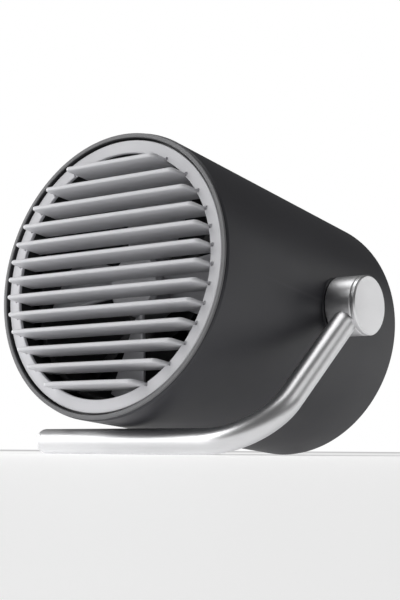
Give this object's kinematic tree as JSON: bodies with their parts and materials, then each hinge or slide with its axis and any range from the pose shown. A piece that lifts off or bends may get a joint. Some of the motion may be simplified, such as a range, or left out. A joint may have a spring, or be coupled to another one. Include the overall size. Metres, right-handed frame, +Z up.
{
  "type": "desk fan",
  "caption": "Compact desk fan: tapered drum head with louvred grille, tilting on a bent aluminium tube stand with a foot bar; USB powered, push button at the rear.",
  "frame": {"origin": "on the desk, in the middle of the footprint of the whole fan at rest", "axes": "+Z up, -Y the way the fan blows (nose tilted up), +X towards the pivot side"},
  "size_m": [0.1283, 0.1463, 0.1264],
  "materials": {
    "charcoal_plastic": "satin moulded ABS, fine texture",
    "bezel_plastic": "satin moulded ABS",
    "grille_plastic": "satin moulded ABS",
    "frame_plastic": "matt moulded ABS",
    "impeller_plastic": "semi-gloss moulded ABS",
    "anodised_aluminium": "bead blasted and clear anodised",
    "cap_aluminium": "turned and clear anodised, bright chamfer",
    "zinc_steel": "zinc plated",
    "motor_steel": "drawn and plated",
    "laminated_steel": "stamped laminations",
    "magnet": "sintered ferrite",
    "copper": "enamelled copper",
    "bronze": "sintered bronze",
    "carbon": "pressed carbon",
    "white_nylon": "natural nylon",
    "black_nylon": "moulded nylon",
    "board": "solder resist on glass epoxy",
    "lead_insulation": "PVC insulation",
    "button_plastic": "satin moulded ABS"
  },
  "bodies": {
    "stand": {"stand_tube": "anodised_aluminium", "tube_plug": "anodised_aluminium", "pivot_barrel": "anodised_aluminium", "pivot_cap": "cap_aluminium", "tilt_stop_pin": "zinc_steel"},
    "head": {"housing_shell": "charcoal_plastic", "front_bezel": "bezel_plastic", "front_grille": "grille_plastic", "grille_retainer": "frame_plastic", "fan_frame": "frame_plastic", "frame_screws": "zinc_steel", "motor_can": "motor_steel", "motor_magnets": "magnet", "motor_end_bell": "black_nylon", "motor_brushes": "carbon", "front_bush": "bronze", "rear_bush": "bronze", "motor_terminals": "bronze", "motor_screws": "zinc_steel", "motor_leads": "lead_insulation", "rear_cover": "charcoal_plastic", "cover_screws": "zinc_steel", "control_board": "board", "board_screws": "zinc_steel", "usb_inlet": "motor_steel", "switch_body": "black_nylon", "pivot_bolt": "zinc_steel", "pivot_nut": "zinc_steel", "pivot_plate": "zinc_steel", "friction_washer": "white_nylon", "spring_washer": "zinc_steel"},
    "impeller": {"impeller": "impeller_plastic", "motor_shaft": "motor_steel", "armature_core": "laminated_steel", "armature_windings": "copper", "commutator": "copper"},
    "power_button": {"power_button": "button_plastic", "switch_plunger": "white_nylon"}
  },
  "joints": [
    {"name": "head_tilt", "type": "hinge", "parent": "stand", "child": "head", "pos_m": [-0.00668, 0.01741, 0.0601], "axis": [-1, 0, 0], "range_deg": [0, 83.1]},
    {"name": "impeller_spin", "type": "hinge", "parent": "head", "child": "impeller", "pos_m": [-0.00668, -0.03873, 0.06689], "axis": [0, -0.9928, 0.1201], "continuous": true},
    {"name": "button_press", "type": "slide", "parent": "head", "child": "power_button", "axis": [0, -0.9928, 0.1201], "range_m": [0, 0.0007], "stiffness_N_per_m": 1200, "springref_m": -0.0005}
  ]
}
